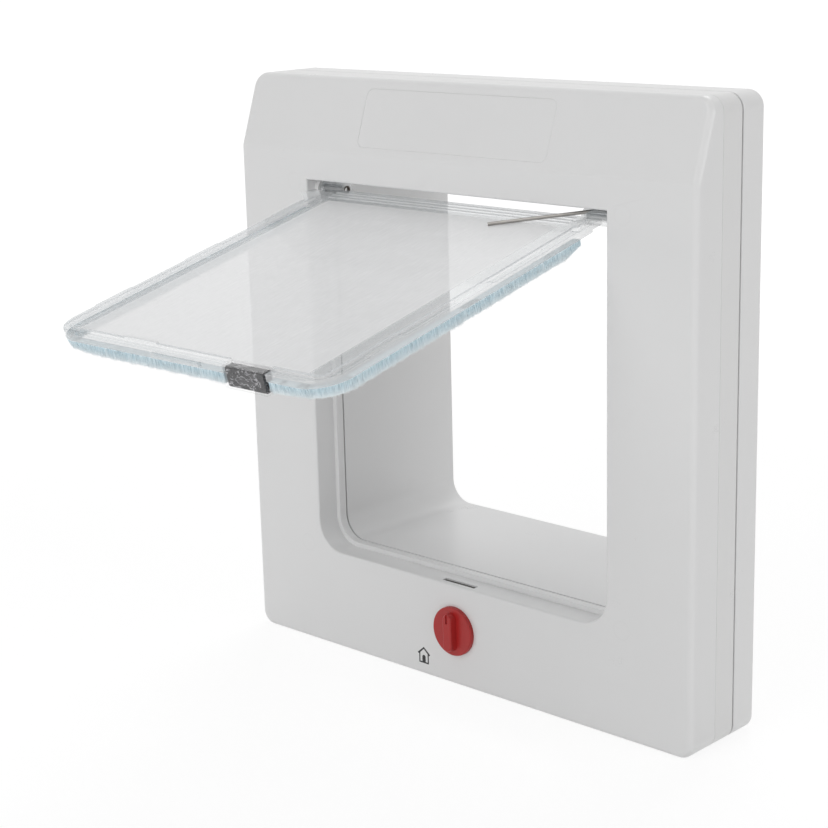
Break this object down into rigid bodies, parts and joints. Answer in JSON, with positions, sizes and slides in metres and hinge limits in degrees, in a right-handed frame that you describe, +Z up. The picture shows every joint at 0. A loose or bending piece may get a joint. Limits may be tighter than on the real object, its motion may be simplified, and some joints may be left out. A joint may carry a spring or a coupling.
{
  "type": "cat flap",
  "caption": "White framed cat flap for a door with a clear top-hung flap in a pile-edged rim, closing magnet, entry latch, battery bay in a slanted upper face and a tunnel through the door.",
  "frame": {"origin": "centre of the passage and of the four fixing holes, on the face of the room-side unit that lies on the door", "axes": "+X to the right seen from the room, +Y out through the door, +Z up"},
  "size_m": [0.2264, 0.2155, 0.2362],
  "materials": {
    "white_plastic": "moulded, satin gloss",
    "clear_plastic": "clear, polished, faintly smoky",
    "black_plastic": "moulded, matte",
    "red_plastic": "moulded, satin gloss",
    "foam": "closed-cell foam",
    "pile": "dense short pile",
    "magnet": "sintered, mottled",
    "steel": "drawn, bright",
    "cell_can": "plain sleeved can",
    "board": "solder mask",
    "copper": "enamelled winding",
    "solenoid": "plain coated frame"
  },
  "bodies": {
    "unit": {"front_cover": "white_plastic", "back_cover": "white_plastic", "tunnel": "white_plastic", "rear_frame": "white_plastic", "door_seal": "foam", "cover_screws": "steel", "battery_cover": "white_plastic", "battery_tray": "black_plastic", "cell_1": "cell_can", "cell_2": "cell_can", "cell_3": "cell_can", "cell_4": "cell_can", "battery_contacts": "steel", "circuit_board": "board", "reader_chip": "black_plastic", "board_screws": "steel", "antenna_coil": "copper", "sill_magnet": "magnet", "latch_solenoid": "solenoid", "hinge_pin_left": "steel", "hinge_pin_right": "steel"},
    "flap": {"flap_panel": "clear_plastic", "hinge_bush_left": "black_plastic", "hinge_bush_right": "white_plastic", "brush_left": "pile", "brush_right": "pile", "flap_magnet": "magnet", "magnet_clip": "clear_plastic", "flap_spring": "steel"},
    "latch": {"latch_pawl": "black_plastic", "latch_plunger": "steel"},
    "lock": {"lock_knob": "red_plastic", "lock_cam": "black_plastic"}
  },
  "joints": [
    {"name": "flap_hinge", "type": "hinge", "parent": "unit", "child": "flap", "pos_m": [0, -0.018, 0.073], "axis": [-1, 0, 0], "range_deg": [-145, 13.7]},
    {"name": "latch_slide", "type": "slide", "parent": "unit", "child": "latch", "axis": [0, 0, 1], "range_m": [0, 0.009]},
    {"name": "lock_turn", "type": "hinge", "parent": "unit", "child": "lock", "pos_m": [0, -0.026, -0.0957], "axis": [0, 1, 0], "range_deg": [0, 270]}
  ]
}
